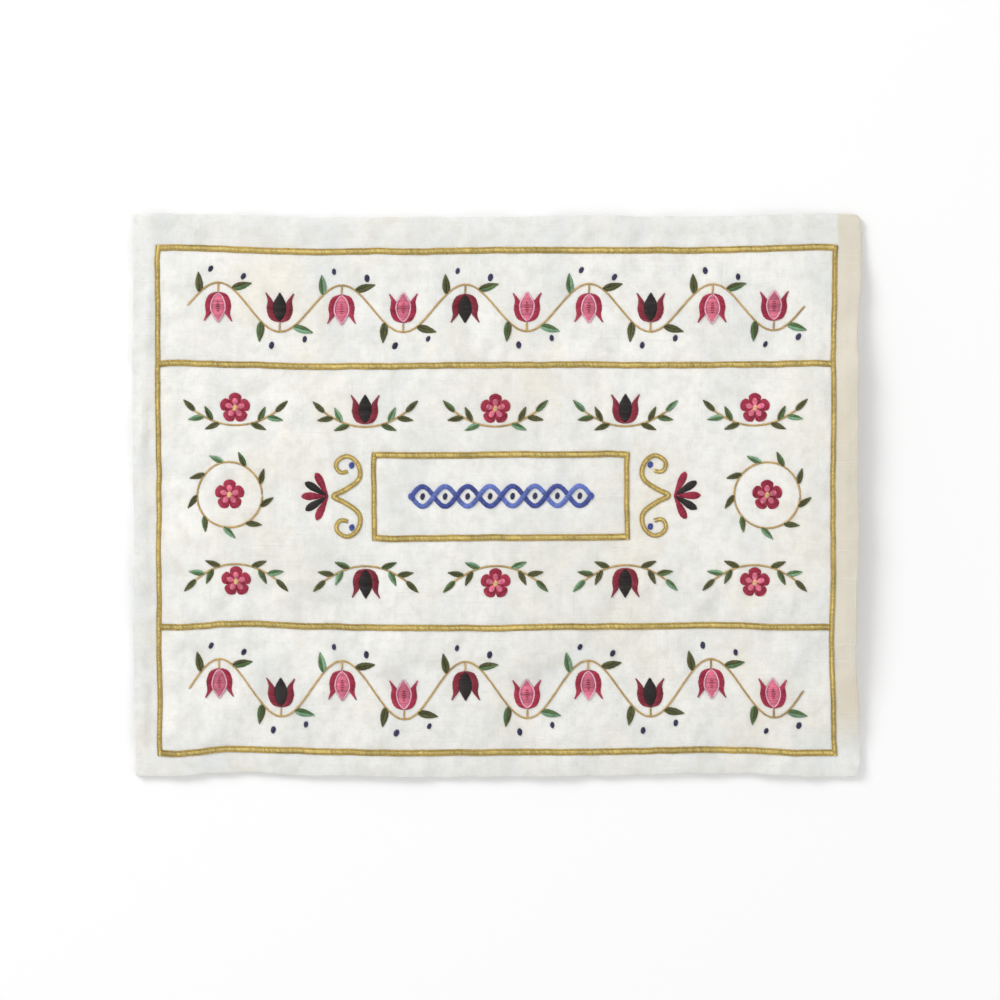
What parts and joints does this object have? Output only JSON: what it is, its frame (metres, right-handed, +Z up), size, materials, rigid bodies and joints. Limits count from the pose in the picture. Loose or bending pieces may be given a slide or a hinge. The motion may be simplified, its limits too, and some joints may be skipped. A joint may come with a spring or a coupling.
{
  "type": "afikoman cover",
  "caption": "Flat silk pouch, sewn on three sides and open at one short side, with an embroidered face of gold lines, flower vines, sprays and wreaths round a framed plait.",
  "frame": {"origin": "middle of the flat underside of the back panel, under the middle of the cover", "axes": "+Z up out of the embroidered face, +X along the long side towards the open end, +Y towards the top of the embroidery"},
  "size_m": [0.32, 0.248, 0.0105],
  "materials": {
    "embroidered_silk": "matte",
    "plain_silk": "matte",
    "gold_thread": "satin",
    "crimson_thread": "satin",
    "maroon_thread": "satin",
    "green_thread": "satin",
    "blue_thread": "satin"
  },
  "bodies": {
    "root": {"front_panel": "embroidered_silk", "back_panel": "plain_silk", "outer_border": "gold_thread", "upper_divider": "gold_thread", "lower_divider": "gold_thread", "cartouche_border": "gold_thread", "cartouche_plait": "blue_thread", "left_scroll": "gold_thread", "left_palmette": "crimson_thread", "right_scroll": "gold_thread", "right_palmette": "crimson_thread", "upper_vine_stem": "green_thread", "upper_vine_tulip_1": "crimson_thread", "upper_vine_tulip_2": "crimson_thread", "upper_vine_tulip_3": "crimson_thread", "upper_vine_tulip_4": "crimson_thread", "upper_vine_tulip_5": "crimson_thread", "upper_vine_tulip_6": "crimson_thread", "upper_vine_tulip_7": "crimson_thread", "upper_vine_tulip_8": "crimson_thread", "upper_vine_tulip_9": "crimson_thread", "upper_vine_tulip_10": "crimson_thread", "upper_twig_1": "green_thread", "upper_flower_1": "crimson_thread", "upper_twig_2": "green_thread", "upper_flower_2": "maroon_thread", "upper_twig_3": "green_thread", "upper_flower_3": "crimson_thread", "upper_twig_4": "green_thread", "upper_flower_4": "maroon_thread", "upper_twig_5": "green_thread", "upper_flower_5": "crimson_thread", "lower_vine_stem": "green_thread", "lower_vine_tulip_1": "crimson_thread", "lower_vine_tulip_2": "crimson_thread", "lower_vine_tulip_3": "crimson_thread", "lower_vine_tulip_4": "crimson_thread", "lower_vine_tulip_5": "crimson_thread", "lower_vine_tulip_6": "crimson_thread", "lower_vine_tulip_7": "crimson_thread", "lower_vine_tulip_8": "crimson_thread", "lower_vine_tulip_9": "crimson_thread", "lower_vine_tulip_10": "crimson_thread", "lower_twig_1": "green_thread", "lower_flower_1": "crimson_thread", "lower_twig_2": "green_thread", "lower_flower_2": "maroon_thread", "lower_twig_3": "green_thread", "lower_flower_3": "crimson_thread", "lower_twig_4": "green_thread", "lower_flower_4": "maroon_thread", "lower_twig_5": "green_thread", "lower_flower_5": "crimson_thread", "left_wreath": "green_thread", "left_wreath_flower": "crimson_thread", "right_wreath": "green_thread", "right_wreath_flower": "crimson_thread"}
  },
  "joints": []
}
